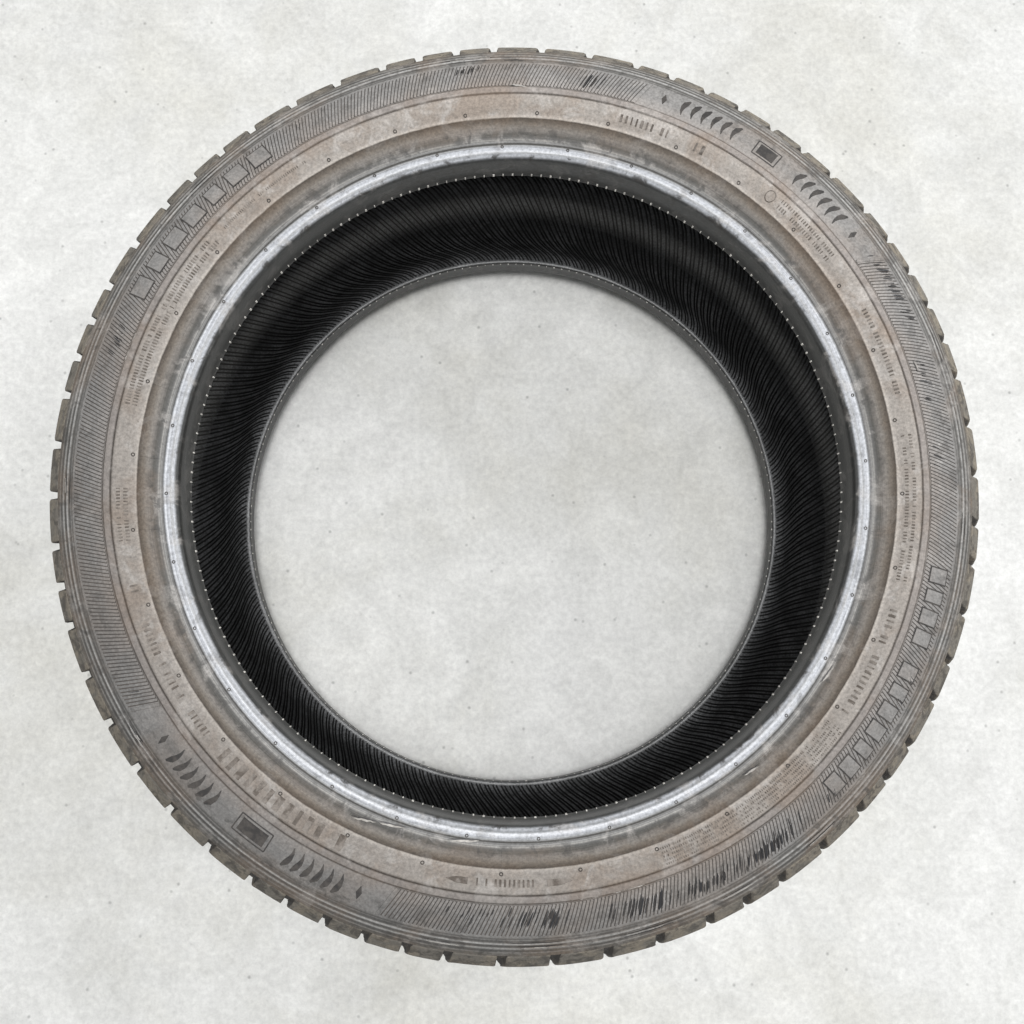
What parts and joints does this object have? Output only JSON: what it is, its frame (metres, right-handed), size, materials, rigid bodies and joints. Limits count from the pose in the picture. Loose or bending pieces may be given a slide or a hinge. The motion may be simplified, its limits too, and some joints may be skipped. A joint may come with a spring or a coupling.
{
  "type": "old worn tyre",
  "caption": "Worn car tyre lying on its side, with rim guards, ribbed side walls, a directional grooved tread and an open inside.",
  "frame": {"origin": "on the tyre's axis, in the plane of the lower side ridge that it lies on", "axes": "+Z along the tyre's axis, upwards as it lies; the first tread groove is 6 degrees clockwise from +X seen from above"},
  "size_m": [0.722, 0.7219, 0.278],
  "materials": {
    "tyre": "dusty, scuffed matt rubber"
  },
  "bodies": {
    "root": {"tyre": "tyre"}
  },
  "joints": []
}
